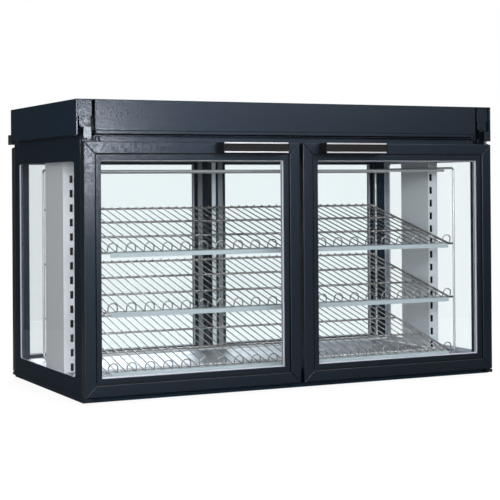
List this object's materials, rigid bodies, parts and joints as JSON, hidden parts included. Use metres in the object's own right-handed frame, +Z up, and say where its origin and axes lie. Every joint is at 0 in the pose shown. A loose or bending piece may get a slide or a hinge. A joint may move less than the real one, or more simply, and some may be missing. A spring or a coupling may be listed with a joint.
{
  "type": "heated merchandising cabinet",
  "caption": "Pass-through heated display cabinet with glass doors front and back, slanted wire shelves, slotted warm-air columns and a blower and heater in its cap.",
  "frame": {"origin": "centre of the footprint, on the counter that the feet stand on", "axes": "+X to the right seen from the front, +Y from the front doors to the rear doors, +Z up"},
  "size_m": [1.246, 0.692, 0.76],
  "materials": {
    "powder_coat": "pebbled satin powder coat, dark navy charcoal",
    "bead": "smooth satin dark coat, folded glazing bead",
    "glass": "clear, polished, a faint blue cast",
    "seal": "matte grey extruded seal",
    "pull": "bright brushed lips with a dark insert and black end caps",
    "stainless": "brushed stainless steel",
    "chromed_wire": "bright chromed wire",
    "liner": "brushed stainless liner sheet",
    "column": "smooth satin grey",
    "price_rail": "matte light grey extruded strip",
    "gasket": "matte light grey glazing gasket",
    "foot_rubber": "matte black",
    "insulation": "mineral fibre board",
    "galvanised": "galvanised sheet",
    "motor": "satin black motor can",
    "heater_sheath": "heat-tinted metal sheath",
    "light_bar": "satin extrusion with a milky lens",
    "control_plastic": "matte black",
    "knob": "matte black with a pale pointer",
    "rocker": "gloss black rocker",
    "screw": "plated steel"
  },
  "bodies": {
    "cabinet": {"air_column_left": "column", "air_column_right": "column", "base_pan": "powder_coat", "blower_housing": "galvanised", "blower_motor": "motor", "cap_floor_panel": "stainless", "cap_front_panel": "powder_coat", "cap_rear_panel": "powder_coat", "cap_side_panels": "powder_coat", "cap_top_panel": "powder_coat", "ceiling_panel": "liner", "control_housings": "control_plastic", "corner_posts": "powder_coat", "deck_tray": "liner", "door_stop_clips": "stainless", "floor_insulation": "insulation", "header_rails": "powder_coat", "heating_element": "heater_sheath", "light_bars": "light_bar", "lower_hinge_brackets": "stainless", "panel_screws": "screw", "power_inlet": "control_plastic", "price_rails": "price_rail", "rack_cross_rods": "chromed_wire", "rack_end_frames": "chromed_wire", "rubber_feet": "foot_rubber", "shelf_bottom": "chromed_wire", "shelf_middle": "chromed_wire", "shelf_top": "chromed_wire", "side_glass": "glass", "side_glass_gaskets": "gasket", "side_panel_left": "powder_coat", "side_panel_right": "powder_coat", "sill_rails": "powder_coat", "upper_hinge_arms": "powder_coat", "upper_hinge_blocks": "powder_coat"},
    "door_front_left": {"door_frame_front_left": "powder_coat", "door_bead_front_left": "bead", "door_glass_front_left": "glass", "door_seal_front_left": "seal", "door_pull_front_left": "pull"},
    "door_front_right": {"door_frame_front_right": "powder_coat", "door_bead_front_right": "bead", "door_glass_front_right": "glass", "door_seal_front_right": "seal", "door_pull_front_right": "pull"},
    "door_rear_left": {"door_frame_rear_left": "powder_coat", "door_bead_rear_left": "bead", "door_glass_rear_left": "glass", "door_seal_rear_left": "seal", "door_pull_rear_left": "pull"},
    "door_rear_right": {"door_frame_rear_right": "powder_coat", "door_bead_rear_right": "bead", "door_glass_rear_right": "glass", "door_seal_rear_right": "seal", "door_pull_rear_right": "pull"},
    "blower_rotor": {"blower_wheel": "galvanised"},
    "thermostat": {"thermostat_knob": "knob"},
    "power_rocker": {"power_switch": "rocker"},
    "light_rocker": {"light_switch": "rocker"}
  },
  "joints": [
    {"name": "door_front_left_hinge", "type": "hinge", "parent": "cabinet", "child": "door_front_left", "pos_m": [-0.601, -0.2965, 0.334], "axis": [0, 0, -1], "range_deg": [0, 105]},
    {"name": "door_front_right_hinge", "type": "hinge", "parent": "cabinet", "child": "door_front_right", "pos_m": [0.601, -0.2965, 0.334], "axis": [0, 0, 1], "range_deg": [0, 105]},
    {"name": "door_rear_left_hinge", "type": "hinge", "parent": "cabinet", "child": "door_rear_left", "pos_m": [-0.601, 0.2965, 0.334], "axis": [0, 0, 1], "range_deg": [0, 105]},
    {"name": "door_rear_right_hinge", "type": "hinge", "parent": "cabinet", "child": "door_rear_right", "pos_m": [0.601, 0.2965, 0.334], "axis": [0, 0, -1], "range_deg": [0, 105]},
    {"name": "blower_spin", "type": "hinge", "parent": "cabinet", "child": "blower_rotor", "pos_m": [0, 0.09, 0.69], "axis": [1, 0, 0], "continuous": true},
    {"name": "thermostat_turn", "type": "hinge", "parent": "cabinet", "child": "thermostat", "pos_m": [0.36, 0.28, 0.716], "axis": [0, -1, 0], "range_deg": [0, 270]},
    {"name": "power_rocker_tilt", "type": "hinge", "parent": "cabinet", "child": "power_rocker", "pos_m": [0.29, 0.269, 0.716], "axis": [1, 0, 0], "range_deg": [0, 16]},
    {"name": "light_rocker_tilt", "type": "hinge", "parent": "cabinet", "child": "light_rocker", "pos_m": [0.25, 0.269, 0.716], "axis": [1, 0, 0], "range_deg": [0, 16]}
  ]
}
